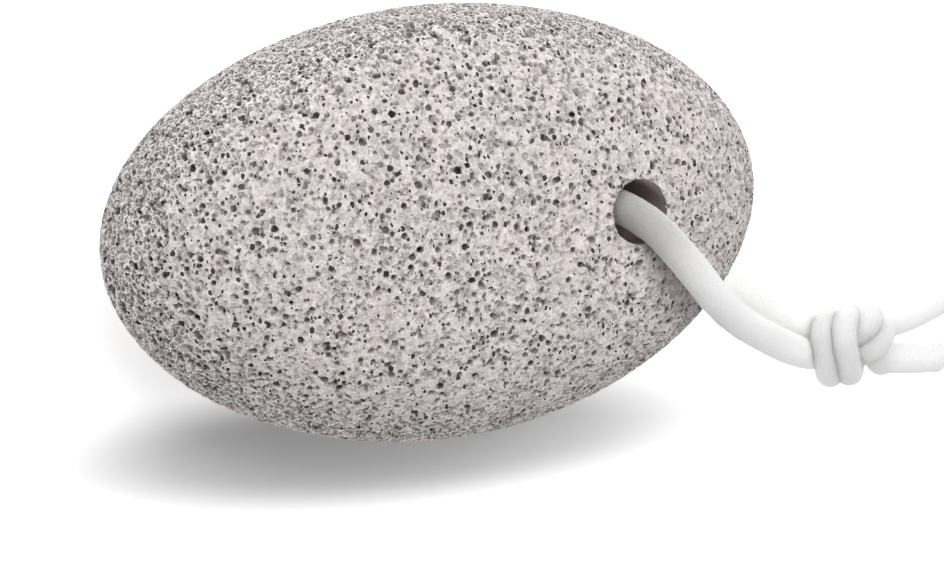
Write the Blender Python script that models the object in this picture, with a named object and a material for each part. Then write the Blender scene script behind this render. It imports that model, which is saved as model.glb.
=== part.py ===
"""Pumice stone on a cord: an oval bath stone, lying on its back, with a hole drilled
through one end and a soft white cord tied through the hole.

Metres, +Z up. The stone rests on z = 0 with its long axis on X and the hole at +X.
Run with: blender --background --python part.py
"""
import math
import random

import bmesh
import bpy
from mathutils import Matrix, Vector
from mathutils.geometry import interpolate_bezier

MM = 0.001

# the stone: half sizes of the worn oval, before its underside is flattened
HALF_LENGTH = 50 * MM
HALF_WIDTH = 30.9 * MM
TOP_RISE = 21 * MM
BACK_RISE = 20 * MM
RESTING_CUT = 1.2 * MM
PLAN_POWER = 1.955         # 2 is an ellipse seen from above
TOP_POWER = 2.6            # above 2, the face is flatter than an ellipsoid's
BACK_POWER = 2.0
PLAN_BOW = 0.9 * MM        # both ends sit this far to +Y of the middle
HOLE_END_LIFT = 0.6        # share of the back's depth that is worn away at the hole's end
LIFT_START = -0.2          # where that starts, as a share of the half length
WAIST_HEIGHT = BACK_RISE - RESTING_CUT

# the drilled hole
HOLE_RADIUS = 4.6 * MM
HOLE_CENTRE = (23.4 * MM, -0.2 * MM)
HOLE_SIDES = 32

# the largest gas pits, open at the surface
PIT_COUNT = 330
PIT_SEED = 11
PIT_RADII = (0.85 * MM, 1.75 * MM)
PIT_DEPTHS = (1.0, 1.6)    # times a pit's radius
PIT_SIDES = 6
PIT_SPACING = 1.35         # times the sum of two pits' radii
CUTTER_PROUD = 0.6 * MM    # how far a pit's cutter stands out of the skin
REST_CLEARANCE = 2.0 * MM  # no pit opens lower than this, where the stone rests

# the cord
CORD_RADIUS = 2.4 * MM
CORD_STEP = 5 * MM
KNOT_CENTRE = Vector((74.4, -30.6, 5.5)) * MM
KNOT_SIZE = Vector((10.6, 12.6, 10.4)) * MM
KNOT_TURN = math.radians(-9)
FRONT_ROUTE = [  # from halfway down the hole, out of the face and down to the knot
    (22.6, 0.6, 20.6), (22.6, 0.6, 27.0), (22.7, 0.5, 31.5), (23.4, -0.6, 36.4),
    (25.1, -3.0, 40.2), (27.6, -6.8, 41.8), (30.4, -10.1, 41.0), (34.0, -13.5, 38.0),
    (38.9, -16.8, 32.7), (45.0, -19.9, 24.5), (51.3, -22.9, 16.6), (57.6, -25.9, 10.0),
    (63.4, -28.8, 6.0), (68.3, -31.1, 4.8),
]
BACK_ROUTE = [   # from halfway down the hole, out under the stone and along to the knot
    (22.0, 0.6, 20.0), (22.0, 0.6, 12.6), (22.7, 0.2, 7.7), (25.2, -1.2, 4.2),
    (30.4, -4.1, 2.6), (38.0, -8.3, 2.5), (48.0, -13.6, 2.5), (57.2, -18.7, 2.5),
    (64.0, -23.0, 2.5), (68.8, -26.6, 2.8),
]
FRONT_TAIL_ROUTE = [(80.4, -33.2, 3.4), (86.0, -34.2, 2.6), (92.2, -34.9, 2.5)]
BACK_TAIL_ROUTE = [(80.6, -28.2, 3.6), (86.4, -27.8, 2.6), (91.6, -26.4, 2.5), (94.2, -25.4, 2.5)]


def start_clean():
    """Empty the scene and return its two collections, for the parts and for the cutters."""
    for old in list(bpy.data.objects):
        bpy.data.objects.remove(old)
    collections = []
    for name in ("pumice_stone_on_cord", "cutters"):
        collection = bpy.data.collections.new(name)
        bpy.context.scene.collection.children.link(collection)
        collections.append(collection)
    return collections


def finish_material(name, colour, roughness):
    material = bpy.data.materials.new(name)
    material.use_nodes = True
    shader = material.node_tree.nodes["Principled BSDF"]
    shader.inputs["Base Color"].default_value = (*colour, 1)
    shader.inputs["Roughness"].default_value = roughness
    shader.inputs["Metallic"].default_value = 0
    return material


def keep(obj, collection, name, material=None):
    """Name an object, move it to a collection and give it its material."""
    for home in list(obj.users_collection):
        home.objects.unlink(obj)
    collection.objects.link(obj)
    obj.name = name
    obj.data.name = name
    if material:
        obj.data.materials.append(material)
    return obj


def back_depth(x):
    """Depth of the back below the waist at the middle of the width, at a place along X."""
    along = (x / HALF_LENGTH - LIFT_START) / (1 - LIFT_START)
    return BACK_RISE * (1 - HOLE_END_LIFT * min(max(along, 0), 1) ** 2)


def relative_radius(point):
    """1 on the worn oval's skin, less inside it. The point is in metres."""
    x, y, z = point.x / HALF_LENGTH, point.y, point.z - WAIST_HEIGHT
    across = (y - PLAN_BOW * x * x) / HALF_WIDTH
    plan = (abs(x) ** PLAN_POWER + abs(across) ** PLAN_POWER) ** (1 / PLAN_POWER)
    depth, power = (TOP_RISE, TOP_POWER) if z > 0 else (back_depth(point.x), BACK_POWER)
    return (plan ** power + abs(z / depth) ** power) ** (1 / power)


def skin_point(direction):
    """The place on the skin that a direction from the middle of the waist leads to."""
    waist = Vector((0, 0, WAIST_HEIGHT))
    depth = TOP_RISE if direction.z > 0 else BACK_RISE
    arm = Vector((direction.x * HALF_LENGTH, direction.y * HALF_WIDTH, direction.z * depth))
    reach = 1.0
    for _ in range(12):
        reach /= relative_radius(waist + arm * reach)
    return waist + arm * reach


def skin_normal(point):
    step = 0.05 * MM
    slopes = []
    for axis in range(3):
        offset = Vector((0, 0, 0))
        offset[axis] = step
        slopes.append(relative_radius(point + offset) - relative_radius(point - offset))
    return Vector(slopes).normalized()


def any_direction(chance):
    """A direction that lands on the skin with about the same chance everywhere."""
    while True:
        height = chance.uniform(-1, 1)
        turn = chance.uniform(0, 2 * math.pi)
        level = math.sqrt(1 - height * height)
        direction = Vector((level * math.cos(turn), level * math.sin(turn), height))
        stretch = Vector((direction.x * TOP_RISE / HALF_LENGTH,
                          direction.y * TOP_RISE / HALF_WIDTH, direction.z)).length
        if chance.random() < stretch:
            return direction


def pit_places():
    """(place on the skin, radius, depth, turn) of each large pit, clear of each other."""
    chance = random.Random(PIT_SEED)
    pits = []
    smallest, largest = PIT_RADII
    while len(pits) < PIT_COUNT:
        skin = skin_point(any_direction(chance))
        radius = smallest + (largest - smallest) * chance.random() ** 2.2
        depth = radius * chance.uniform(*PIT_DEPTHS)
        turn = chance.uniform(0, 2 * math.pi)
        from_hole = math.hypot(skin.x - HOLE_CENTRE[0], skin.y - HOLE_CENTRE[1])
        if skin.z < REST_CLEARANCE + radius or from_hole < HOLE_RADIUS + 1.5 * radius:
            continue
        if all((skin - other).length > PIT_SPACING * (radius + wide) for other, wide, _, _ in pits):
            pits.append((skin, radius, depth, turn))
    return pits


def make_pit_cutter(collection):
    """One mesh of all the pits, each a point-down cone of a few flats, like a broken bubble."""
    mesh = bmesh.new()
    for skin, radius, depth, turn in pit_places():
        outward = skin_normal(skin)
        length = depth + CUTTER_PROUD
        middle = skin + outward * (CUTTER_PROUD - length / 2)
        place = Matrix.Translation(middle) @ outward.to_track_quat("Z", "Y").to_matrix().to_4x4()
        bmesh.ops.create_cone(mesh, cap_ends=True, segments=PIT_SIDES, radius1=0,
                              radius2=radius * length / depth, depth=length,
                              matrix=place @ Matrix.Rotation(turn, 4, "Z"))
    bmesh.ops.remove_doubles(mesh, verts=mesh.verts, dist=0.001 * MM)
    data = bpy.data.meshes.new("pit_cutter")
    mesh.to_mesh(data)
    mesh.free()
    cutter = bpy.data.objects.new("pit_cutter", data)
    collection.objects.link(cutter)
    return cutter


def make_hole_cutter(collection):
    bpy.ops.mesh.primitive_cylinder_add(vertices=HOLE_SIDES, radius=HOLE_RADIUS,
                                        depth=3 * BACK_RISE,
                                        location=(*HOLE_CENTRE, WAIST_HEIGHT))
    return keep(bpy.context.active_object, collection, "hole_cutter")


def cut(obj, cutter):
    cutter.hide_render = True
    cutter.display_type = "WIRE"
    boolean = obj.modifiers.new(cutter.name, "BOOLEAN")
    boolean.operation = "DIFFERENCE"
    boolean.object = cutter


def make_stone(parts, cutters, material):
    """A ball drawn out to the worn oval, flat where it rests, then drilled and pitted."""
    bpy.ops.mesh.primitive_ico_sphere_add(subdivisions=4, radius=1)
    stone = keep(bpy.context.active_object, parts, "pumice_stone", material)
    for vertex in stone.data.vertices:
        vertex.co = skin_point(vertex.co.normalized())
        vertex.co.z = max(vertex.co.z, 0)
    cut(stone, make_hole_cutter(cutters))
    cut(stone, make_pit_cutter(cutters))
    return stone


def smooth_line(route, step):
    """Points about a step apart on one smooth curve through a route in millimetres."""
    knots = [Vector(point) * MM for point in route]
    tangents = [(after - before) / 2 for before, after in
                zip([knots[0]] + knots[:-1], knots[1:] + [knots[-1]])]
    dense = []
    for (start, out), (end, into) in zip(zip(knots, tangents), zip(knots[1:], tangents[1:])):
        span = (end - start).length
        pull = [turn.normalized() * span / 3 for turn in (out, into)]
        dense += interpolate_bezier(start, start + pull[0], end - pull[1], end, 17)[:-1]
    dense.append(knots[-1])
    lengths = [0.0]
    for before, after in zip(dense, dense[1:]):
        lengths.append(lengths[-1] + (after - before).length)
    count = max(2, round(lengths[-1] / step))
    line = []
    for index in range(count + 1):
        target = lengths[-1] * index / count
        after = next((i for i, length in enumerate(lengths) if length >= target), len(dense) - 1)
        after = max(after, 1)
        share = (target - lengths[after - 1]) / (lengths[after] - lengths[after - 1])
        line.append(dense[after - 1].lerp(dense[after], min(max(share, 0), 1)))
    return line


def make_tube(collection, name, route, material):
    curve = bpy.data.curves.new(name, "CURVE")
    curve.dimensions = "3D"
    curve.bevel_depth = CORD_RADIUS
    curve.bevel_resolution = 3
    curve.use_fill_caps = True
    line = smooth_line(route, CORD_STEP)
    spline = curve.splines.new("POLY")
    spline.points.add(len(line) - 1)
    for point, place in zip(spline.points, line):
        point.co = (*place, 1)
    curve.materials.append(material)
    tube = bpy.data.objects.new(name, curve)
    collection.objects.link(tube)
    return tube


def make_knot(collection, material):
    """The knot's outer bulk, as one rounded lump."""
    bpy.ops.mesh.primitive_uv_sphere_add(segments=20, ring_count=12, radius=0.5)
    knot = keep(bpy.context.active_object, collection, "cord_knot", material)
    knot.scale = KNOT_SIZE
    knot.rotation_euler = (0, 0, KNOT_TURN)
    knot.location = KNOT_CENTRE
    return knot


def main():
    parts, cutters = start_clean()
    pumice = finish_material("pumice", (0.50, 0.47, 0.45), 0.95)
    cotton = finish_material("cotton", (0.88, 0.87, 0.86), 0.9)
    make_stone(parts, cutters, pumice)
    make_tube(parts, "cord_front", FRONT_ROUTE, cotton)
    make_tube(parts, "cord_back", BACK_ROUTE, cotton)
    make_knot(parts, cotton)
    make_tube(parts, "cord_tail_front", FRONT_TAIL_ROUTE, cotton)
    make_tube(parts, "cord_tail_back", BACK_TAIL_ROUTE, cotton)


main()
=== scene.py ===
"""Looks of a pumice stone on a cord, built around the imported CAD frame.

Everything is in metres, +Z up, in the CAD's own frame. Lengths that are written in
millimetres are turned into metres by MM.
"""
import math
import random

import bmesh
import bpy
import numpy as np
import openvdb
from mathutils import Matrix, Vector
from mathutils.geometry import interpolate_bezier


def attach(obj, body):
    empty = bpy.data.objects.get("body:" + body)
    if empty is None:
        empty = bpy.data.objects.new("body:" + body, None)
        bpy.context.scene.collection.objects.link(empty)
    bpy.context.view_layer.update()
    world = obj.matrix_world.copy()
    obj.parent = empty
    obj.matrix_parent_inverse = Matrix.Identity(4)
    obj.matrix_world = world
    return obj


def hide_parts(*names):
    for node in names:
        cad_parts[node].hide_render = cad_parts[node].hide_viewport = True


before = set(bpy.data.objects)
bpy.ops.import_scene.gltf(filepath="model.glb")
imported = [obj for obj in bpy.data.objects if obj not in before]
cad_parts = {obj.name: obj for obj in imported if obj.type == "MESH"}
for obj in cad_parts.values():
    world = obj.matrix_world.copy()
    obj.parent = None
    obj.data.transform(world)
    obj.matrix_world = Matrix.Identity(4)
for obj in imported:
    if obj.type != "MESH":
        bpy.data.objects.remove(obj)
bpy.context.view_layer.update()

MM = 0.001

# ---------------------------------------------------------------- sizes shared with part.py
HALF_LENGTH = 50.0
HALF_WIDTH = 30.9
TOP_RISE = 21.0
BACK_RISE = 20.0
RESTING_CUT = 1.2
PLAN_POWER = 1.955
TOP_POWER = 2.6
BACK_POWER = 2.0
PLAN_BOW = 0.9
HOLE_END_LIFT = 0.6
LIFT_START = -0.2
WAIST_HEIGHT = BACK_RISE - RESTING_CUT
HOLE_RADIUS = 4.6
HOLE_CENTRE = (23.4, -0.2)

PIT_COUNT = 330
PIT_SEED = 11
PIT_RADII = (0.85, 1.75)
PIT_DEPTHS = (1.0, 1.6)
PIT_SPACING = 1.35
REST_CLEARANCE = 2.0

CORD_RADIUS = 2.4
KNOT_CENTRE = Vector((74.4, -30.6, 5.5))
FRONT_ROUTE = [
    (22.6, 0.6, 20.6), (22.6, 0.6, 27.0), (22.7, 0.5, 31.5), (23.4, -0.6, 36.4),
    (25.1, -3.0, 40.2), (27.6, -6.8, 41.8), (30.4, -10.1, 41.0), (34.0, -13.5, 38.0),
    (38.9, -16.8, 32.7), (45.0, -19.9, 24.5), (51.3, -22.9, 16.6), (57.6, -25.9, 10.0),
    (63.4, -28.8, 6.0), (68.3, -31.1, 4.8),
]
BACK_ROUTE = [
    (22.0, 0.6, 20.0), (22.0, 0.6, 12.6), (22.7, 0.2, 7.7), (25.2, -1.2, 4.2),
    (30.4, -4.1, 2.6), (38.0, -8.3, 2.5), (48.0, -13.6, 2.5), (57.2, -18.7, 2.5),
    (64.0, -23.0, 2.5), (68.8, -26.6, 2.8),
]
FRONT_TAIL_ROUTE = [(80.4, -33.2, 3.4), (86.0, -34.2, 2.6), (92.2, -34.9, 2.5)]
BACK_TAIL_ROUTE = [(80.6, -28.2, 3.6), (86.4, -27.8, 2.6), (91.6, -26.4, 2.5), (94.2, -25.4, 2.5)]


# ---------------------------------------------------------------- camera
PHOTO_WIDTH, PHOTO_HEIGHT = 944, 564
SENSOR = 36.0                      # mm
CAMERA_DISTANCE = 600.0            # mm, from the middle of the stone's waist
PIXELS_PER_MM = 7.007              # at that distance
WAIST_PIXEL = (431.43, 221.14)     # where the middle of the waist falls in the photograph
CLIP_START = 0.01                  # m
CAMERA_TURN, CAMERA_TILT, CAMERA_ROLL = 0.44, 0.08, 0.1315      # radians


def make_camera():
    """The photograph's view. Returns the camera's right, up and backward directions."""
    facing = (Matrix.Rotation(CAMERA_TURN, 3, "Y") @ Matrix.Rotation(CAMERA_TILT, 3, "X")
              @ Matrix.Rotation(CAMERA_ROLL, 3, "Z"))
    # its rows are the camera's right, up and backward directions
    right, up, backward = (Vector(row) for row in facing)
    data = bpy.data.cameras.new("camera")
    data.sensor_width = SENSOR
    data.lens = PIXELS_PER_MM * CAMERA_DISTANCE / PHOTO_WIDTH * SENSOR
    data.shift_x = (PHOTO_WIDTH / 2 - WAIST_PIXEL[0]) / PHOTO_WIDTH
    data.shift_y = (WAIST_PIXEL[1] - PHOTO_HEIGHT / 2) / PHOTO_WIDTH
    data.clip_start = CLIP_START
    camera = bpy.data.objects.new("camera", data)
    place = (Vector((0, 0, WAIST_HEIGHT)) + backward * CAMERA_DISTANCE) * MM
    turned = Matrix((right, up, backward)).transposed()
    camera.matrix_world = Matrix.Translation(place) @ turned.to_4x4()
    bpy.context.scene.collection.objects.link(camera)
    bpy.context.scene.camera = camera
    return right, up, backward


# ---------------------------------------------------------------- mesh helpers
def link(obj):
    bpy.context.scene.collection.objects.link(obj)
    return obj


def mesh_from_arrays(name, points, quads):
    """A mesh from an array of points in mm and one of four-cornered faces."""
    data = bpy.data.meshes.new(name)
    data.vertices.add(len(points))
    data.vertices.foreach_set("co", (np.asarray(points) * MM).astype(np.float32).ravel())
    data.loops.add(quads.size)
    data.loops.foreach_set("vertex_index", quads.astype(np.int32).ravel())
    data.polygons.add(len(quads))
    data.polygons.foreach_set("loop_start", np.arange(0, quads.size, 4, dtype=np.int32))
    data.polygons.foreach_set("loop_total", np.full(len(quads), 4, np.int32))
    data.update(calc_edges=True)
    data.validate()
    return data


def store(data, name, values):
    """Keep one number per vertex on a mesh, for its material to read."""
    layer = data.attributes.new(name, "FLOAT", "POINT")
    layer.data.foreach_set("value", np.asarray(values, np.float32))


def smoothstep(low, high, value):
    share = np.clip((value - low) / (high - low), 0, 1)
    return share * share * (3 - 2 * share)


def smooth_draws(rng, count, every):
    """Smooth random bumps of -1 to 1 along a line, about so many points apart."""
    draws = rng.uniform(-1, 1, count // every + 3)
    place = np.arange(count) / every
    low = place.astype(int)
    share = smoothstep(0, 1, place - low)
    return draws[low] * (1 - share) + draws[low + 1] * share


# ---------------------------------------------------------------- cord: its line
CURVE_POINTS = 17      # on each stretch between two points of a route


def line_length(line):
    return float(np.linalg.norm(np.diff(line, axis=0), axis=1).sum())


def smooth_line(route, step):
    """Points about a step apart on the same smooth curve as part.py's, in mm."""
    knots = [Vector(point) for point in route]
    tangents = [(after - before) / 2 for before, after in
                zip([knots[0]] + knots[:-1], knots[1:] + [knots[-1]])]
    dense = []
    for (start, out), (end, into) in zip(zip(knots, tangents), zip(knots[1:], tangents[1:])):
        span = (end - start).length
        pull = [turn.normalized() * span / 3 for turn in (out, into)]
        dense += interpolate_bezier(start, start + pull[0], end - pull[1], end, CURVE_POINTS)[:-1]
    dense.append(knots[-1])
    return respace(np.array(dense), step)


def resample(line, count):
    """The same line as a number of evenly spaced points."""
    lengths = np.r_[0, np.cumsum(np.linalg.norm(np.diff(line, axis=0), axis=1))]
    wanted = np.linspace(0, lengths[-1], count)
    return np.stack([np.interp(wanted, lengths, line[:, axis]) for axis in range(3)], 1)


def respace(line, step):
    """The same line, cut into even steps."""
    return resample(line, max(2, round(line_length(line) / step)) + 1)


def carried_frames(line, first):
    """Tangents and two side directions that follow a line without twisting about it."""
    tangents = np.gradient(line, axis=0)
    tangents /= np.linalg.norm(tangents, axis=1)[:, None]
    sides = np.zeros_like(line)
    side = np.asarray(first, float)
    for index, tangent in enumerate(tangents):
        side = side - tangent * (side @ tangent)
        side /= np.linalg.norm(side)
        sides[index] = side
    return tangents, sides, np.cross(tangents, sides)


# the overhand knot, tied in both strands together; lengths are in mm
KNOT_BEADS = 76            # in each strand
KNOT_LOOSE = 6.5           # size of the loose knot that is pulled tight
KNOT_TURN = 2.05           # how far the loose knot's curve runs either way
KNOT_GAP = 4.2             # between the two strands while loose
KNOT_SQUASH = 2.95         # between two strands' middles where they press together
KNOT_FLOOR = 2.2           # the lowest that a strand's middle lies
KNOT_STEPS = 1500
KNOT_CLOSING = 0.4         # the first share of them, in which the ends go to their pins
KNOT_LINK = 1.2            # between beads once they are there; then it shrinks
KNOT_SHRINK = 0.998        # by this much a step, while the strands give way,
KNOT_GIVE = 1.05           # which is until their links are stretched by this much
KNOT_PAIRED = (0.12, 0.88)     # the stretch of the strands that is kept side by side
KNOT_CORE = (0.2, 0.8)         # the stretch whose middle is kept in place
KNOT_MIDDLE = np.array((74.2, -30.1, 5.9))     # where that middle is kept
KNOT_AXIS = Vector((12, -1.7, -0.3)).normalized()
KNOT_PINS = [              # where each strand enters and leaves, and which way it points in
    ((67.0, -30.5, 5.1), (4.9, -2.3, -1.2)), ((81.8, -33.45, 3.2), (-5.6, 1.0, 0.8)),
    ((67.5, -25.6, 2.7), (4.8, -3.6, 0.3)), ((82.0, -28.1, 3.35), (-5.8, -0.4, 1.0)),
]
# how much of each wrong is put right at once
LINK_PULL = 0.45
STRAIGHTEN, EVEN_BEND = 0.2, 0.35
PAIR_PULL = 0.25
MIDDLE_PULL = 0.04
TOUCH_PUSH = 0.175
TOUCHES_SHARED = 0.45      # of a bead's touches, among which its push is divided
LINK_ROUNDS, TOUCH_ROUNDS = 4, 2


def loose_knot():
    """Two strands side by side through one loose overhand knot."""
    turn = np.linspace(-KNOT_TURN, KNOT_TURN, KNOT_BEADS)
    line = np.stack([turn ** 5 / 5 - 2 * turn, 3 * turn - turn ** 3,
                     turn ** 4 - 4 * turn ** 2 + 1.2], 1) * KNOT_LOOSE
    line = resample(line, KNOT_BEADS)
    line = np.stack([line[:, 0], -line[:, 2], line[:, 1]], 1)
    _, sides, _ = carried_frames(line, (0, 1, 0))
    along = np.array(KNOT_AXIS)
    across = np.cross((0, 0, 1), along)
    across /= np.linalg.norm(across)
    axes = np.stack([along, across, np.cross(along, across)])
    strands = [np.array(KNOT_CENTRE) + (line + sides * offset) @ axes
               for offset in (KNOT_GAP / 2, -KNOT_GAP / 2)]
    starts = [np.array(KNOT_PINS[0][0]), np.array(KNOT_PINS[2][0])]
    straight, swapped = (sum(np.linalg.norm(strands[i ^ flip][0] - starts[i]) for i in (0, 1))
                         for flip in (0, 1))
    return strands if straight <= swapped else strands[::-1]


def keep_links(beads, links, rest):
    """Draws each link towards its length."""
    for chosen in (links[0::2], links[1::2]):
        link_line = beads[chosen + 1] - beads[chosen]
        length = np.linalg.norm(link_line, axis=1)[:, None]
        fix = link_line * (LINK_PULL * (length - rest) / length)
        beads[chosen] += fix
        beads[chosen + 1] -= fix


def bend_softly(beads):
    """Straightens each strand a little, and evens its bends out along it."""
    for begin in (0, KNOT_BEADS):
        strand = beads[begin:begin + KNOT_BEADS]
        bend = np.zeros_like(strand)
        bend[1:-1] = (strand[:-2] + strand[2:]) / 2 - strand[1:-1]
        sharp = np.zeros_like(strand)
        sharp[1:-1] = bend[1:-1] - (bend[:-2] + bend[2:]) / 2
        strand[1:-1] += STRAIGHTEN * bend[1:-1] + EVEN_BEND * sharp[1:-1]


def keep_together(beads, hold):
    """Keeps the two strands side by side, and the knot in its place."""
    begin, end = (int(KNOT_BEADS * share) for share in KNOT_PAIRED)
    first, second = beads[begin:end], beads[KNOT_BEADS + begin:KNOT_BEADS + end]
    apart = first - second
    length = np.linalg.norm(apart, axis=1)[:, None]
    fix = np.where(length > KNOT_SQUASH, apart * PAIR_PULL * (length - KNOT_SQUASH) / length, 0)
    first -= fix
    second += fix
    begin, end = (int(KNOT_BEADS * share) for share in KNOT_CORE)
    core = np.vstack([beads[begin:end], beads[KNOT_BEADS + begin:KNOT_BEADS + end]])
    middle = (core.min(0) + core.max(0)) / 2
    beads += (KNOT_MIDDLE - middle) * MIDDLE_PULL * hold


def push_apart(beads, left, right, may_touch):
    """Moves beads that overlap away from each other, so that no strand passes through another."""
    between = beads[left] - beads[right]
    square = np.einsum("ij,ij->i", between, between)
    touch = (square < KNOT_SQUASH ** 2) & may_touch
    length = np.sqrt(square[touch]) + 1e-9
    fix = between[touch] * ((KNOT_SQUASH - length) / length * TOUCH_PUSH)[:, None]
    push = np.zeros_like(beads)
    np.add.at(push, left[touch], fix)
    np.add.at(push, right[touch], -fix)
    touches = np.bincount(np.r_[left[touch], right[touch]], minlength=len(beads))
    beads += push / np.maximum(1, touches * TOUCHES_SHARED)[:, None]


def tightened_knot():
    """The loose knot pulled tight: beads on two limp strands that can't pass each other."""
    first, second = loose_knot()
    count = KNOT_BEADS
    beads = np.vstack([first, second])
    ends = np.array([0, count - 1, count, 2 * count - 1])
    next_in = np.array([1, count - 2, count + 1, 2 * count - 2])
    start = beads[ends].copy()
    pins = np.array([pin for pin, _ in KNOT_PINS])
    inward = np.array([direction for _, direction in KNOT_PINS])
    inward /= np.linalg.norm(inward, axis=1)[:, None]
    loose_link = np.linalg.norm(np.diff(first, axis=0), axis=1).mean()
    rest = loose_link
    links = np.r_[np.arange(count - 1), np.arange(count, 2 * count - 1)]
    left, right = np.triu_indices(2 * count, 1)
    other_strand = (left < count) != (right < count)
    hold = np.tile(np.hanning(count), 2)[:, None]

    for step in range(KNOT_STEPS):
        share = min(1, step / (KNOT_STEPS * KNOT_CLOSING))
        at_ends = start + (pins - start) * share

        def pin():
            beads[ends] = at_ends
            if share >= 1:
                beads[next_in] = at_ends + inward * rest

        if share < 1:
            rest = loose_link + (KNOT_LINK - loose_link) * share
        elif np.linalg.norm(beads[links + 1] - beads[links], axis=1).mean() < rest * KNOT_GIVE:
            rest *= KNOT_SHRINK
        pin()
        for _ in range(LINK_ROUNDS):
            keep_links(beads, links, rest)
            pin()
        bend_softly(beads)
        keep_together(beads, hold)
        # neighbours along one strand lie closer than strands that touch, so they don't count
        neighbours = math.ceil(1.15 * KNOT_SQUASH / max(rest, 0.3))
        may_touch = other_strand | (right - left > neighbours)
        for _ in range(TOUCH_ROUNDS):
            push_apart(beads, left, right, may_touch)
        pin()
        beads[:, 2] = np.maximum(beads[:, 2], KNOT_FLOOR)
    return beads[:count], beads[count:]


JOIN_STEP = 0.5            # mm between the points of a route and a tail
EASING_STEP = 0.35         # mm between points while the joins are eased
EASINGS = 8
CUT_BACK = 0.5             # about how many mm a route stops short of the knot's strand


def joined_line(route, strand, tail, step):
    """One even line through a route, a strand of the knot and a tail."""
    before = smooth_line(route, JOIN_STEP)
    after = smooth_line(tail, JOIN_STEP)
    before = before[(before - strand[0]) @ (strand[1] - strand[0]) < -CUT_BACK]
    after = after[(after - strand[-1]) @ (strand[-2] - strand[-1]) < -CUT_BACK]
    line = respace(np.vstack([before, strand, after]), EASING_STEP)
    for _ in range(EASINGS):
        line[1:-1] += 0.5 * ((line[:-2] + line[2:]) / 2 - line[1:-1])
    return respace(line, step)


# ---------------------------------------------------------------- cord: its surface
CORD_AROUND = 64           # points round each ring
CORD_STEP = 0.24           # mm between rings
KNOT_STRAND_RADIUS = 2.08  # mm, where the knot squeezes it
KNOT_SQUEEZE = (5, 11)     # mm from the knot's middle, where the squeeze fades out
BRAID_YARNS = 16           # in each direction
BRAID_PITCH = 1.15         # mm along the cord for each yarn crossing
BRAID_RELIEF = 0.085       # mm
CORD_LUMPS = ((24, 0.05), (90, 0.03))      # rings from one lump to the next, and mm high
LUMP_SEED = 3
CUT_END = ((0.93, 0.22), (0.78, 0.36), (0.5, 0.42), (0.2, 0.44))   # share of radius, mm out
CUT_END_WEAVE = 0.4        # as the braid's height


def braid_height(angle, along):
    """0 in the gaps between yarns to 1 on their crowns, for a plain tubular braid."""
    first = angle * BRAID_YARNS / (2 * math.pi) + along / BRAID_PITCH / 2
    second = angle * BRAID_YARNS / (2 * math.pi) - along / BRAID_PITCH / 2
    over = (np.floor(first) + np.floor(second)) % 2 < 1
    across = np.where(over, first % 1, second % 1)
    length = np.where(over, second % 1, first % 1)
    crown = np.sqrt(np.clip(np.sin(np.pi * across), 0, 1))
    return crown * (0.55 + 0.45 * np.sin(np.pi * length))


def close_end(last, rim, middle, outward, total):
    """The points and faces that draw a tube's end ring in to its middle.

    last and rim are the ring's indexes and points; total is how many points there are yet.
    """
    points, faces = [], []
    for share, out in CUT_END:
        points.append(middle + (rim - middle) * share + outward * out)
        new = np.arange(total, total + CORD_AROUND)
        total += CORD_AROUND
        faces.append(np.stack([last, np.roll(last, -1), np.roll(new, -1), new], -1))
        last = new
    # what is left open is closed by faces across it
    half = CORD_AROUND // 2
    opposite = last[::-1]
    faces.append(np.stack([last[:half - 1], last[1:half], opposite[1:half],
                           opposite[:half - 1]], -1))
    return points, faces


def make_cord(name, line):
    """A braided tube along a line in mm, with softly closed cut ends."""
    tangents, sides, others = carried_frames(line, (0, 1, 0))   # both start upright
    along = np.r_[0, np.cumsum(np.linalg.norm(np.diff(line, axis=0), axis=1))]
    from_knot = np.linalg.norm(line - np.array(KNOT_CENTRE), axis=1)
    free = smoothstep(*KNOT_SQUEEZE, from_knot)
    radius = KNOT_STRAND_RADIUS + (CORD_RADIUS - KNOT_STRAND_RADIUS) * free
    radius -= BRAID_RELIEF / 2
    angle = np.arange(CORD_AROUND) * 2 * math.pi / CORD_AROUND
    height = braid_height(angle[None, :], along[:, None])
    rng = np.random.default_rng(LUMP_SEED)
    lumps = sum(smooth_draws(rng, len(line), every) * high for every, high in CORD_LUMPS)
    reach = (radius + lumps)[:, None] + BRAID_RELIEF * height
    outward = (np.cos(angle)[None, :, None] * sides[:, None, :]
               + np.sin(angle)[None, :, None] * others[:, None, :])
    rings = line[:, None, :] + reach[..., None] * outward

    index = np.arange(len(line) * CORD_AROUND).reshape(len(line), CORD_AROUND)
    a, b = index[:-1], index[1:]
    quads = np.stack([a, np.roll(a, -1, 1), np.roll(b, -1, 1), b], -1).reshape(-1, 4)
    points, faces = [rings.reshape(-1, 3)], [quads]
    for end, sign in ((0, -1), (-1, 1)):
        cap_points, cap_faces = close_end(index[end], rings[end], line[end],
                                          tangents[end] * sign, sum(map(len, points)))
        points += cap_points
        faces += [face[:, ::sign] for face in cap_faces]
    points = np.vstack(points)
    data = mesh_from_arrays(name, points, np.vstack(faces))
    data.shade_smooth()
    weave = np.full(len(points), CUT_END_WEAVE)
    weave[:height.size] = height.ravel()
    store(data, "weave", weave)
    return link(bpy.data.objects.new(name, data))


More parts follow.
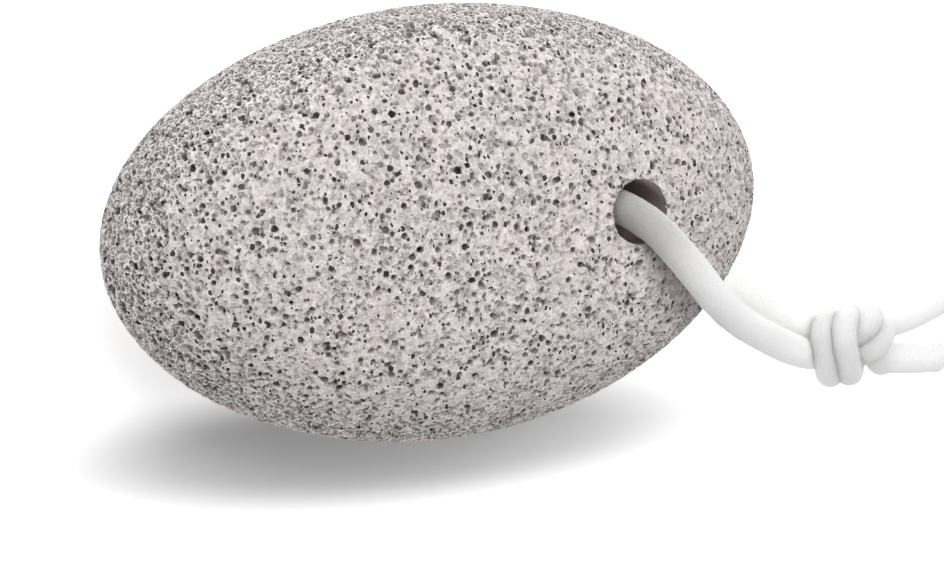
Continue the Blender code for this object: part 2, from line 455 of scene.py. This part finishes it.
# ---------------------------------------------------------------- stone: its form
def relative_radius(x, y, z):
    """1 on the worn oval's skin, less inside it, for arrays or numbers in mm."""
    along = x / HALF_LENGTH
    height = z - WAIST_HEIGHT
    lift = np.clip((along - LIFT_START) / (1 - LIFT_START), 0, 1)
    across = (y - PLAN_BOW * along * along) / HALF_WIDTH
    plan = np.abs(along) ** PLAN_POWER + np.abs(across) ** PLAN_POWER
    top = plan ** (TOP_POWER / PLAN_POWER) + np.abs(height / TOP_RISE) ** TOP_POWER
    depth = BACK_RISE * (1 - HOLE_END_LIFT * lift * lift)
    back = plan ** (BACK_POWER / PLAN_POWER) + np.abs(height / depth) ** BACK_POWER
    return np.where(height > 0, top ** (1 / TOP_POWER), back ** (1 / BACK_POWER))


NUDGE = 0.05           # mm, for slopes by small differences
SKIN_ROUNDS = 12       # of closing in on the skin


def skin_points(directions):
    """Where directions from the middle of the waist meet the worn oval's skin."""
    depth = np.where(directions[:, 2] > 0, TOP_RISE, BACK_RISE)
    arm = directions * np.stack([np.full_like(depth, HALF_LENGTH),
                                 np.full_like(depth, HALF_WIDTH), depth], 1)
    reach = np.ones(len(arm))
    for _ in range(SKIN_ROUNDS):
        place = arm * reach[:, None]
        reach /= relative_radius(place[:, 0], place[:, 1], place[:, 2] + WAIST_HEIGHT)
    return arm * reach[:, None] + np.array((0, 0, WAIST_HEIGHT))


def skin_rises(points):
    """How much relative_radius rises across two nudges at each point, on each axis."""
    rises = []
    for axis in range(3):
        offset = np.zeros(3)
        offset[axis] = NUDGE
        rises.append(relative_radius(*(points + offset).T) - relative_radius(*(points - offset).T))
    return np.stack(rises, 1)


def skin_normals(points):
    """Directions straight out of the worn oval, for points anywhere near its skin."""
    rises = skin_rises(points)
    return rises / np.linalg.norm(rises, axis=1)[:, None]


def skin_scale(points):
    """How many mm one unit of relative_radius is worth at each point."""
    return 2 * NUDGE / np.maximum(np.linalg.norm(skin_rises(points), axis=1), 1e-5)


def pit_places():
    """(place, radius, depth) of each of part.py's large pits, by the same draws."""
    chance = random.Random(PIT_SEED)
    pits = []
    smallest, largest = PIT_RADII
    while len(pits) < PIT_COUNT:
        while True:
            height = chance.uniform(-1, 1)
            turn = chance.uniform(0, 2 * math.pi)
            level = math.sqrt(1 - height * height)
            direction = Vector((level * math.cos(turn), level * math.sin(turn), height))
            stretch = Vector((direction.x * TOP_RISE / HALF_LENGTH,
                              direction.y * TOP_RISE / HALF_WIDTH, direction.z)).length
            if chance.random() < stretch:
                break
        skin = Vector(skin_points(np.array([direction]))[0])
        radius = smallest + (largest - smallest) * chance.random() ** 2.2
        depth = radius * chance.uniform(*PIT_DEPTHS)
        chance.uniform(0, 2 * math.pi)      # its turn, which a round bubble has no use for
        from_hole = math.hypot(skin.x - HOLE_CENTRE[0], skin.y - HOLE_CENTRE[1])
        if skin.z < REST_CLEARANCE + radius or from_hole < HOLE_RADIUS + 1.5 * radius:
            continue
        if all((skin - other).length > PIT_SPACING * (radius + wide) for other, wide, _ in pits):
            pits.append((skin, radius, depth))
    return pits


VOXEL = 0.17    # mm
STONE_TRIANGLES = 196_000
BUBBLE_SEED = 5
BUBBLE_TIERS = (           # how many at most, their radii in mm, and the ground face's share
    (3400, 0.34, 0.52, 0.85), (9000, 0.26, 0.34, 0.55), (6000, 0.20, 0.26, 0.25),
)
FACE_SPACING = 0.98        # on the ground face, times the sum of two bubbles' radii
WALL_SPACING = 0.80        # on the rough walls, where bubbles break into each other
WALL_TILTS = (0.90, 0.48)  # a normal's height, from the ground face to the walls
UNDERSIDE = -0.75          # a normal's height, below which it points to the resting face
UNDERSIDE_SHARE = 0.3      # of bubbles that are kept there
TRIES = 9                  # places drawn for each bubble wanted
OPEN_SHARE = 0.58          # of the bubbles, cut through below their widest
OPEN_SINK = (0.15, 0.65)   # how deep their centres lie, times the radius
DISH_SINK = (-0.8, -0.2)   # the rest are shallow dishes, with centres above the skin
BUBBLE_STRETCH = (0.72, 1.4)       # along each one's own axis
# a CAD pit becomes two bubbles; the sink, slide and lower one's radius are times the upper's
PIT_OPENING = 0.37         # the upper one's radius, times the pit's
PIT_SINK = 0.25            # of the upper one's centre
PIT_SLIDE = 0.3            # of the lower one, on each axis
PIT_LOWER = 0.95
PIT_STRETCH = (0.85, 1.2)


def wall_share(normals):
    """0 on the ground face, 1 on the rough walls round it."""
    return smoothstep(*WALL_TILTS, normals[:, 2])


class Crowd:
    """Bubbles taken so far, in cells, so that a new one can be kept clear of them."""

    CELL = 1.6      # mm, more than any two bubbles are kept apart

    def __init__(self):
        self.cells = {}

    def take(self, place, radius, spacing):
        x, y, z = place
        i, j, k = int(x // self.CELL), int(y // self.CELL), int(z // self.CELL)
        for cell in ((i + a, j + b, k + c) for a in (-1, 0, 1) for b in (-1, 0, 1)
                     for c in (-1, 0, 1)):
            for u, v, w, other in self.cells.get(cell, ()):
                clear = spacing * (radius + other)
                if (x - u) ** 2 + (y - v) ** 2 + (z - w) ** 2 < clear * clear:
                    return False
        self.cells.setdefault((i, j, k), []).append((x, y, z, radius))
        return True


def pit_bubbles(rng, crowd):
    """The bubbles at part.py's pits: two for each, the lower one broken into."""
    pits = pit_places()
    skin = np.array([place for place, _, _ in pits])
    normal = skin_normals(skin)
    radius = np.array([wide for _, wide, _ in pits]) * PIT_OPENING
    depth = np.array([deep for _, _, deep in pits])
    for place, wide in zip(skin, radius):
        crowd.take(place, wide, FACE_SPACING)
    upper = skin - normal * (radius * PIT_SINK)[:, None]
    upper_stretch = rng.uniform(*PIT_STRETCH, len(pits))
    slide = rng.normal(size=(len(pits), 3)) * (radius * PIT_SLIDE)[:, None]
    lower = skin - normal * (depth - radius)[:, None] + slide
    lower_stretch = rng.uniform(*PIT_STRETCH, len(pits))
    return [(upper, radius, upper_stretch), (lower, radius * PIT_LOWER, lower_stretch)]


def tier_bubbles(rng, crowd, wanted, smallest, largest, face_share):
    """Up to the wanted number of bubbles, each kept clear of those in the crowd."""
    tried = rng.normal(size=(wanted * TRIES, 3))
    tried /= np.linalg.norm(tried, axis=1)[:, None]
    chance = np.sqrt((tried[:, 0] * TOP_RISE / HALF_LENGTH) ** 2
                     + (tried[:, 1] * TOP_RISE / HALF_WIDTH) ** 2 + tried[:, 2] ** 2)
    skin = skin_points(tried[rng.random(len(tried)) < chance])
    skin[:, 2] = np.maximum(skin[:, 2], 0)
    normal = skin_normals(skin)
    share = face_share + (1 - face_share) * wall_share(normal)
    share = np.where(normal[:, 2] < UNDERSIDE, UNDERSIDE_SHARE, share)
    kept = rng.random(len(skin)) < share
    skin, normal = skin[kept], normal[kept]
    radius = rng.uniform(smallest, largest, len(skin))
    spacing = FACE_SPACING + (WALL_SPACING - FACE_SPACING) * wall_share(normal)
    taken = []
    for index, bubble in enumerate(zip(skin.tolist(), radius.tolist(), spacing.tolist())):
        if len(taken) < wanted and crowd.take(*bubble):
            taken.append(index)
    skin, normal, radius = skin[taken], normal[taken], radius[taken]
    opened = rng.random(len(skin)) < OPEN_SHARE
    sink = np.where(opened, rng.uniform(*OPEN_SINK, len(skin)),
                    rng.uniform(*DISH_SINK, len(skin)))
    centre = skin - normal * (sink * radius)[:, None]
    return centre, radius, rng.uniform(*BUBBLE_STRETCH, len(skin))


def bubbles():
    """Centres, radii, stretch and stretch directions of every gas bubble near the skin."""
    rng = np.random.default_rng(BUBBLE_SEED)
    crowd = Crowd()
    groups = pit_bubbles(rng, crowd)
    groups += [tier_bubbles(rng, crowd, *tier) for tier in BUBBLE_TIERS]
    centre, radius, stretch = (np.concatenate(part) for part in zip(*groups))
    axis = rng.normal(size=centre.shape)
    axis /= np.linalg.norm(axis, axis=1)[:, None]
    return centre, radius, stretch, axis


ROUGHNESS = 0.085          # mm, how far the skin is broken up between bubbles
ROUGHNESS_GRAIN = 0.55     # mm, from one bump to the next
ROUGHNESS_SEED = 8


def add_roughness(field):
    """Soft random bumps over the whole field."""
    rng = np.random.default_rng(ROUGHNESS_SEED)
    every = ROUGHNESS_GRAIN / VOXEL
    coarse = rng.uniform(-1, 1, [int(n / every) + 2 for n in field.shape]).astype(np.float32)
    for axis, count in enumerate(field.shape):
        place = np.arange(count) / every
        low = place.astype(int)
        share = smoothstep(0, 1, (place - low).astype(np.float32))
        shape = [1, 1, 1]
        shape[axis] = count
        share = share.reshape(shape)
        coarse = (np.take(coarse, low, axis) * (1 - share)
                  + np.take(coarse, low + 1, axis) * share)
    field += ROUGHNESS * coarse


# mm; the oval's bow carries its ends a little towards +Y
FIELD_REACH = ((-50.2, 50.2), (-31.2, 31.6), (0, WAIST_HEIGHT + TOP_RISE))
FIELD_PAD = 4              # voxels of room all round
SLAB = 64                  # layers of the field worked out at a time, to spare memory
RIM_ROUNDING = 0.3         # mm, at the drilled hole


def stone_field():
    """The skin's signed distance in mm on a grid, nearly, and the grid's axes."""
    pad = FIELD_PAD * VOXEL
    axes = [np.arange(low - pad, high + pad, VOXEL, dtype=np.float32)
            for low, high in FIELD_REACH]
    shape = [len(axis) for axis in axes]
    field = np.empty(shape, np.float32)
    for begin in range(0, shape[0], SLAB):
        part = np.meshgrid(axes[0][begin:begin + SLAB], axes[1], axes[2], indexing="ij")
        field[begin:begin + SLAB] = relative_radius(*part)
    slope = np.zeros_like(field)
    for axis in range(3):
        difference = np.gradient(field, VOXEL, axis=axis)
        slope += difference * difference
    field = (field - 1) / np.maximum(np.sqrt(slope), 1e-4)
    del slope
    field = np.maximum(field, -axes[2][None, None, :])
    hole = HOLE_RADIUS - np.hypot(axes[0][:, None] - HOLE_CENTRE[0],
                                  axes[1][None, :] - HOLE_CENTRE[1])
    # a rounded maximum of the two softens the drilled rim
    hole = np.broadcast_to(hole[:, :, None], shape)
    blend = np.clip(0.5 + 0.5 * (field - hole) / RIM_ROUNDING, 0, 1)
    field = hole + (field - hole) * blend + RIM_ROUNDING * blend * (1 - blend)
    return field.astype(np.float32), axes


def stamp_bubbles(field, axes):
    """Cuts every bubble out of the field, each a ball stretched or squashed along its axis."""
    low_corner = np.array([axis[0] for axis in axes])
    size = np.array(field.shape)
    for centre, radius, ratio, axis in zip(*bubbles()):
        reach = radius * max(ratio, 1) + 2 * VOXEL
        low = np.maximum(((centre - reach - low_corner) / VOXEL).astype(int), 0)
        high = np.minimum(((centre + reach - low_corner) / VOXEL).astype(int) + 2, size)
        if (low >= high).any():
            continue
        x = axes[0][low[0]:high[0], None, None] - centre[0]
        y = axes[1][None, low[1]:high[1], None] - centre[1]
        z = axes[2][None, None, low[2]:high[2]] - centre[2]
        along = x * axis[0] + y * axis[1] + z * axis[2]
        distance = radius - np.sqrt(x * x + y * y + z * z + along * along * (ratio ** -2 - 1))
        part = field[low[0]:high[0], low[1]:high[1], low[2]:high[2]]
        np.maximum(part, distance, out=part)


def keep_largest(data):
    """Drops all but the largest island: closed bubbles inside the stone, and loose specks."""
    pairs = np.zeros(len(data.edges) * 2, np.int32)
    data.edges.foreach_get("vertices", pairs)
    first, second = pairs.reshape(-1, 2).T
    island = np.arange(len(data.vertices))
    settled = False
    while not settled:
        lower = np.minimum(island[first], island[second])
        joined = island.copy()
        np.minimum.at(joined, first, lower)
        np.minimum.at(joined, second, lower)
        joined = joined[joined]
        settled = bool((joined == island).all())
        island = joined
    largest = np.bincount(island).argmax()
    mesh = bmesh.new()
    mesh.from_mesh(data)
    mesh.verts.ensure_lookup_table()
    others = [mesh.verts[int(index)] for index in np.flatnonzero(island != largest)]
    bmesh.ops.delete(mesh, geom=others, context="VERTS")
    mesh.to_mesh(data)
    mesh.free()


CREASE = math.radians(48)      # sharper edges are shaded sharp
BORE_BAND = (0.25, 0.05)       # mm outside the hole's radius, where its wall fades in
SUNK_RANGE = (-1, 6)           # mm below the skin


def stone_mesh():
    """The stone as one closed mesh, made from its field."""
    field, axes = stone_field()
    stamp_bubbles(field, axes)
    add_roughness(field)
    grid = openvdb.FloatGrid(1.0)
    grid.copyFromArray(np.clip(field, -1, 1))
    points, _, quads = grid.convertToPolygons(isovalue=0.0, adaptivity=0.0)
    points = points * VOXEL + np.array([axis[0] for axis in axes])
    dense = link(bpy.data.objects.new("dense", mesh_from_arrays("dense", points, quads)))
    fewer = dense.modifiers.new("fewer", "DECIMATE")
    fewer.ratio = STONE_TRIANGLES / (2 * len(quads))
    seen = dense.evaluated_get(bpy.context.evaluated_depsgraph_get())
    data = bpy.data.meshes.new_from_object(seen)
    bpy.data.objects.remove(dense)
    keep_largest(data)
    data.name = "pumice"
    return data


def make_stone():
    """The stone, with numbers on its mesh for its material."""
    data = stone_mesh()
    place = np.zeros(len(data.vertices) * 3, np.float32)
    data.vertices.foreach_get("co", place)
    place = place.reshape(-1, 3) / MM
    place[:, 2] = np.maximum(place[:, 2], 0)
    data.vertices.foreach_set("co", (place * MM).ravel())       # nothing below the floor
    data.update()
    data.shade_smooth()
    data.set_sharp_from_angle(angle=CREASE)
    sunk = (1 - relative_radius(*place.T)) * skin_scale(place)
    from_axis = np.hypot(place[:, 0] - HOLE_CENTRE[0], place[:, 1] - HOLE_CENTRE[1])
    store(data, "sunk", np.clip(sunk, *SUNK_RANGE))
    store(data, "wall", wall_share(skin_normals(place)))
    store(data, "bore", smoothstep(*(HOLE_RADIUS + out for out in BORE_BAND), from_axis))
    return link(bpy.data.objects.new("pumice", data))


# ---------------------------------------------------------------- materials
class Nodes:
    """Short names for wiring a material's nodes."""

    def __init__(self, name):
        self.material = bpy.data.materials.new(name)
        self.material.use_nodes = True
        self.tree = self.material.node_tree
        self.shader = self.tree.nodes["Principled BSDF"]

    def add(self, kind, inputs=None, **settings):
        node = self.tree.nodes.new(kind)
        for key, value in settings.items():
            setattr(node, key, value)
        for key, value in (inputs or {}).items():
            if isinstance(value, bpy.types.NodeSocket):
                self.tree.links.new(value, node.inputs[key])
            else:
                node.inputs[key].default_value = value
        return node

    def out(self, kind, inputs=None, output=0, **settings):
        return self.add(kind, inputs, **settings).outputs[output]

    def math(self, operation, first, second=0.0):
        return self.out("ShaderNodeMath", {0: first, 1: second}, operation=operation)

    def ramp(self, value, low, high, bottom=0.0, top=1.0):
        """value mapped smoothly from low..high to bottom..top"""
        return self.out("ShaderNodeMapRange", {0: value, 1: low, 2: high, 3: bottom, 4: top},
                        interpolation_type="SMOOTHSTEP")

    def mix(self, share, first, second, blend="MIX"):
        node = self.add("ShaderNodeMix", data_type="RGBA", blend_type=blend)
        for socket, value in ((node.inputs[0], share), (node.inputs[6], first),
                              (node.inputs[7], second)):
            if isinstance(value, bpy.types.NodeSocket):
                self.tree.links.new(value, socket)
            else:
                socket.default_value = (*value, 1) if isinstance(value, tuple) else value
        return node.outputs[2]

    def millimetres(self):
        """Object coordinates in mm."""
        coordinates = self.out("ShaderNodeTexCoord", output=3)
        return self.vector("MULTIPLY", coordinates, (1 / MM, 1 / MM, 1 / MM))

    def vector(self, operation, first, second):
        return self.out("ShaderNodeVectorMath", {0: first, 1: second}, operation=operation)

    def length(self, vector):
        return self.out("ShaderNodeVectorMath", {0: vector}, output=1, operation="LENGTH")

    def noise(self, vector, scale, detail=3.0, roughness=0.6):
        return self.out("ShaderNodeTexNoise", {"Vector": vector, "Scale": scale,
                                               "Detail": detail, "Roughness": roughness})

    def attribute(self, name):
        return self.out("ShaderNodeAttribute", attribute_name=name, output=2)

    def bump(self, height, distance, strength=1.0, after=None):
        inputs = {"Height": height, "Distance": distance, "Strength": strength}
        if after is not None:
            inputs["Normal"] = after
        return self.out("ShaderNodeBump", inputs)

    def use(self, **sockets):
        for key, value in sockets.items():
            socket = self.shader.inputs[key.replace("_", " ")]
            if isinstance(value, bpy.types.NodeSocket):
                self.tree.links.new(value, socket)
            else:
                socket.default_value = value


# the pumice's colours, with painted shade and painted light for its dips, crests, dishes, ridges,
# pinholes and bubbles
STONE_TONES = ((0.505, 0.436, 0.425), (0.548, 0.455, 0.438))
MOTTLE_DARK, MOTTLE_LIGHT = (0.35, 0.325, 0.315), (0.82, 0.74, 0.72)
GRAIN_DARK, GRAIN_LIGHT = (0.26, 0.243, 0.236), (0.94, 0.88, 0.865)
DIP_PAINTED_SHADE, CREST_PAINTED_LIGHT = (0.28, 0.258, 0.252), (0.91, 0.85, 0.84)
DISH_PAINTED_SHADE, RIDGE_PAINTED_LIGHT = (0.19, 0.18, 0.175), (0.90, 0.86, 0.85)
PIN_PAINTED_SHADE, PIN_RIM_PAINTED_LIGHT = (0.03, 0.027, 0.026), (0.91, 0.87, 0.86)
BUBBLE_PAINTED_SHADE = (0.045, 0.039, 0.036)
DRILLED_BROWN = (0.62, 0.52, 0.495)
# pinholes: cells to a mm, the draw from which a cell may have one, and the widest, in cells
PINHOLES = ((1.35, 0.45, 0.36), (0.85, 0.50, 0.34))


def ground_glass(n, place, sunk, skin, grain):
    """Colour of the ground skin: broad changes of tone, cloudy mottling, fine grain, painted shade
    in its dips and painted light on its crests.
    """
    broad = n.noise(place, 0.07, 2.0)
    mottle = n.noise(place, 0.62, 3.0, 0.7)
    colour = n.mix(n.ramp(broad, 0.3, 0.7), *STONE_TONES)
    colour = n.mix(n.ramp(mottle, 0.35, 0.65), n.mix(0.46, colour, MOTTLE_DARK),
                   n.mix(0.38, colour, MOTTLE_LIGHT))
    colour = n.mix(n.ramp(grain, 0.35, 0.65), n.mix(0.38, colour, GRAIN_DARK),
                   n.mix(0.40, colour, GRAIN_LIGHT))
    # painted shade where the skin dips, painted light where it rises
    high = n.ramp(sunk, -0.07, 0.10, 1.0, 0.0)
    return n.mix(n.math("MULTIPLY", high, skin), n.mix(0.22, colour, DIP_PAINTED_SHADE),
                 n.mix(0.32, colour, CREST_PAINTED_LIGHT))


def broken_cells(n, bent, wall, skin, colour):
    """Adds broken cells, with painted shade in their dishes and painted light on their thin edges,
    mostly on the walls, and says where they are.
    """
    foam = {"Vector": bent, "Scale": 1.15}
    edge = n.out("ShaderNodeTexVoronoi", foam, feature="DISTANCE_TO_EDGE")
    cell = n.out("ShaderNodeSeparateColor", {0: n.out("ShaderNodeTexVoronoi", foam, output=1)})
    opened = n.ramp(n.math("ADD", cell, n.math("MULTIPLY", wall, 0.6)), 0.50, 0.95)
    dish = n.math("MULTIPLY", n.ramp(edge, 0.05, 0.24), n.math("MULTIPLY", opened, skin))
    # painted shade in the cells' dishes
    colour = n.mix(n.math("MULTIPLY", dish, n.ramp(wall, 0.0, 1.0, 0.5, 0.74)), colour, DISH_PAINTED_SHADE)
    # painted light on the cells' thin edges
    ridge = n.math("MULTIPLY", n.ramp(edge, 0.02, 0.10, 1.0, 0.0), n.math("MULTIPLY", wall, 0.68))
    return n.mix(n.math("MULTIPLY", ridge, skin), colour, RIDGE_PAINTED_LIGHT), dish


def pinholes(n, drawn, skin, colour):
    """Adds holes too small for the mesh as painted shade, with painted light on their rims, and
    says where they are.
    """
    pins = None
    for scale, lowest, widest in PINHOLES:
        cells = n.add("ShaderNodeTexVoronoi", {"Vector": drawn, "Scale": scale})
        size = n.ramp(n.out("ShaderNodeSeparateColor", {0: cells.outputs["Color"]}, output=1),
                      lowest, 1.0, -0.12, widest)
        depth = n.math("MULTIPLY", n.math("SUBTRACT", size, cells.outputs["Distance"]), skin)
        # painted light on the rim
        rim = n.ramp(depth, -0.15, -0.05)
        colour = n.mix(n.math("MULTIPLY", rim, 0.6), colour, PIN_RIM_PAINTED_LIGHT)
        # painted shade in the hole
        pin = n.ramp(depth, -0.05, 0.06)
        colour = n.mix(n.math("MULTIPLY", pin, 0.97), colour, PIN_PAINTED_SHADE)
        pins = pin if pins is None else n.math("MAXIMUM", pins, pin)
    return colour, pins


def pumice_material():
    n = Nodes("pumice")
    place = n.millimetres()
    sunk = n.attribute("sunk")
    bore = n.attribute("bore")
    skin = n.ramp(bore, 0.0, 1.0, 1.0, 0.0)
    grain = n.noise(place, 2.4, 2.0, 0.7)
    colour = ground_glass(n, place, sunk, skin, grain)
    # coordinates with a wobble, so that no cell is drawn with straight sides
    wobble = n.out("ShaderNodeTexNoise", {"Vector": place, "Scale": 1.9, "Detail": 2.0}, output=1)
    bent = n.out("ShaderNodeVectorMath", {0: wobble, 1: (0.60, 0.60, 0.60), 2: place},
                 operation="MULTIPLY_ADD")
    colour, dish = broken_cells(n, bent, n.attribute("wall"), skin, colour)
    colour, pins = pinholes(n, n.vector("MULTIPLY", bent, (1.15, 0.85, 1.0)), skin, colour)
    # painted shade in the bubbles: darker the deeper below the skin, more in some patches than
    # others
    deep = n.math("MULTIPLY", n.ramp(sunk, 0.08, 0.60), skin)
    patchy_shade = n.ramp(n.noise(place, 0.55, 1.0), 0.35, 0.65, 0.62, 0.96)
    colour = n.mix(n.math("MULTIPLY", deep, patchy_shade), colour, BUBBLE_PAINTED_SHADE)
    # the drilled wall is ground smooth and a little browner
    drilled = n.math("MULTIPLY", bore, n.ramp(sunk, 0.2, 1.5))
    colour = n.mix(drilled, colour, DRILLED_BROWN)
    relief = n.math("SUBTRACT", n.math("MULTIPLY", dish, -1.0), pins)
    normal = n.bump(n.noise(place, 2.6, 3.0, 0.7), 0.22 * MM, 0.8)
    normal = n.bump(relief, 0.3 * MM, 0.8, after=normal)
    n.use(Base_Color=colour, Roughness=n.ramp(grain, 0.2, 0.8, 0.86, 0.98), Normal=normal,
          Specular_IOR_Level=0.25)
    return n.material


# the cord's colours, with painted shade between its yarns and where it leaves the hole
CORD_WHITES = ((0.98, 0.975, 0.965), (0.99, 0.983, 0.97))
YARN_GAP_PAINTED_SHADE = (0.80, 0.785, 0.775)
FLUFF_GREY = (0.78, 0.77, 0.765)
FIBRE_GREY = (0.72, 0.715, 0.71)
KNOT_CREAM = (0.985, 0.945, 0.88)
HOLE_PAINTED_SHADE = (0.26, 0.255, 0.255)
HOLE_SHADE_REACH = 19.0          # mm from the hole's axis


def cord_material():
    n = Nodes("cord")
    place = n.millimetres()
    weave = n.attribute("weave")
    fibres = n.noise(place, 5.0, 4.0, 0.7)
    fluff = n.noise(place, 2.2, 3.0, 0.75)
    wear = n.noise(place, 0.12, 3.0)
    colour = n.mix(n.ramp(wear, 0.35, 0.7), *CORD_WHITES)
    # painted shade in the gaps between yarns
    colour = n.mix(n.ramp(weave, 0.0, 0.7, 0.25, 0.0), colour, YARN_GAP_PAINTED_SHADE)
    colour = n.mix(n.ramp(fluff, 0.32, 0.52, 0.25, 0.0), colour, FLUFF_GREY)
    colour = n.mix(n.ramp(fibres, 0.35, 0.50, 0.30, 0.0), colour, FIBRE_GREY)
    # a little cream where it is drawn tight
    from_knot = n.out("ShaderNodeVectorMath", {0: place, 1: KNOT_CENTRE}, output=1,
                      operation="DISTANCE")
    colour = n.mix(n.ramp(from_knot, 3.0, 8.0, 0.7, 0.0), colour, KNOT_CREAM)
    # painted shade: greyer towards the hole's axis, where the cord leaves the hole
    from_axis = n.vector("MULTIPLY", n.vector("SUBTRACT", place, (*HOLE_CENTRE, 0)), (1, 1, 0))
    colour = n.mix(n.ramp(n.length(from_axis), 0.0, HOLE_SHADE_REACH, 0.78, 0.0), colour, HOLE_PAINTED_SHADE)
    normal = n.bump(fibres, 0.2 * MM, 0.9)
    normal = n.bump(fluff, 0.3 * MM, 0.5, after=normal)
    n.use(Base_Color=colour, Roughness=n.ramp(fibres, 0.2, 0.8, 0.8, 0.95), Normal=normal,
          Specular_IOR_Level=0.15, Sheen_Weight=1.0, Sheen_Roughness=0.5,
          Subsurface_Weight=1.0, Subsurface_Radius=(1.0, 1.0, 1.0), Subsurface_Scale=0.008)
    return n.material


# painted shadow on the floor: where its glow is taken away and its colour greyed, under the stone
# and in a strip in front of it, given as an ellipse's middle and reach in mm on the floor and its
# turn
SHADES = (((1.0, -7.0, 0.0), (37.0, 25.0, 1.0), 0.0),
          ((-2.0, -34.5, 0.0), (60.0, 9.5, 1.0), math.radians(-4.4)))
PAPER_WHITES = ((0.90, 0.90, 0.90), (0.92, 0.92, 0.92))
PAINTED_SHADOW_GREY = (0.70, 0.70, 0.705)
FLOOR_GLOW = 0.55


def floor_material():
    n = Nodes("paper")
    place = n.millimetres()
    colour = n.mix(n.noise(place, 0.02, 2.0), *PAPER_WHITES)
    away = None
    for centre, reach, turn in SHADES:
        apart = n.out("ShaderNodeMapping", {
            "Vector": place, "Location": centre, "Rotation": (0, 0, turn), "Scale": reach},
            vector_type="TEXTURE")
        away = n.length(apart) if away is None else n.math("MINIMUM", away, n.length(apart))
    # painted shadow: the paper greyed under the stone and in the strip in front of it, and its
    # glow taken away there
    colour = n.mix(n.ramp(away, 0.2, 1.2), PAINTED_SHADOW_GREY, colour)
    n.use(Base_Color=colour, Roughness=0.9, Specular_IOR_Level=0.1,
          Emission_Color=(1, 1, 1, 1), Emission_Strength=n.ramp(away, 0.5, 1.25, 0.0, FLOOR_GLOW))
    return n.material


# ---------------------------------------------------------------- floor and light
FLOOR_SIZE = 6             # m
# a light's place as the camera sees it (right, up and towards it), m away, m across, watts
LIGHTS = (
    ("key", (0.25, 0.52, 0.85), 1.0, 0.9, 7.0),
    ("side", (0.6, 0.20, 0.85), 0.45, 0.4, 0.95),
    ("low", (-0.1, -0.6, 0.85), 1.0, 0.7, 2.1),
)
LIT_PLACE = Vector((0.01, 0, 0.02))
SURROUNDING_LIGHT = 0.17


def make_floor():
    bpy.ops.mesh.primitive_plane_add(size=FLOOR_SIZE, location=(0, 0, 0))
    floor = bpy.context.active_object
    floor.name = "floor"
    floor.data.materials.append(floor_material())


def light_scene(right, up, backward):
    """Three soft disks on the camera's side, and an even white surrounding."""
    for name, (across, above, toward), distance, size, power in LIGHTS:
        data = bpy.data.lights.new(name, "AREA")
        data.shape = "DISK"
        data.size = size
        data.energy = power
        light = link(bpy.data.objects.new(name, data))
        direction = (right * across + up * above + backward * toward).normalized()
        place = LIT_PLACE + direction * distance
        light.location = place
        light.rotation_euler = (LIT_PLACE - place).to_track_quat("-Z", "Y").to_euler()
    world = bpy.data.worlds.new("studio")
    world.use_nodes = True
    background = world.node_tree.nodes["Background"]
    background.inputs["Color"].default_value = (1, 1, 1, 1)
    background.inputs["Strength"].default_value = SURROUNDING_LIGHT
    bpy.context.scene.world = world
    bpy.context.scene.view_settings.view_transform = "Standard"


# ---------------------------------------------------------------- the scene
# mm up: where each strand comes out of the stone
FRONT_EXIT, BACK_EXIT = 38.6, 4.4


def make_cords():
    white_cord = cord_material()
    front_strand, back_strand = tightened_knot()
    for name, route, strand, tail, exit_height, solids in (
            ("cord_front_braid", FRONT_ROUTE, front_strand, FRONT_TAIL_ROUTE, FRONT_EXIT,
             ("cord_front", "cord_knot", "cord_tail_front")),
            ("cord_back_braid", BACK_ROUTE, back_strand, BACK_TAIL_ROUTE, BACK_EXIT,
             ("cord_back", "cord_tail_back"))):
        line = joined_line(route, strand, tail, CORD_STEP)
        piece = make_cord(name, line)
        piece.data.materials.append(white_cord)
        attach(piece, "root")
        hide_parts(*solids)


def main():
    view = make_camera()
    make_cords()
    stone = make_stone()
    stone.data.materials.append(pumice_material())
    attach(stone, "root")
    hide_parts("pumice_stone")

    make_floor()
    light_scene(*view)


main()
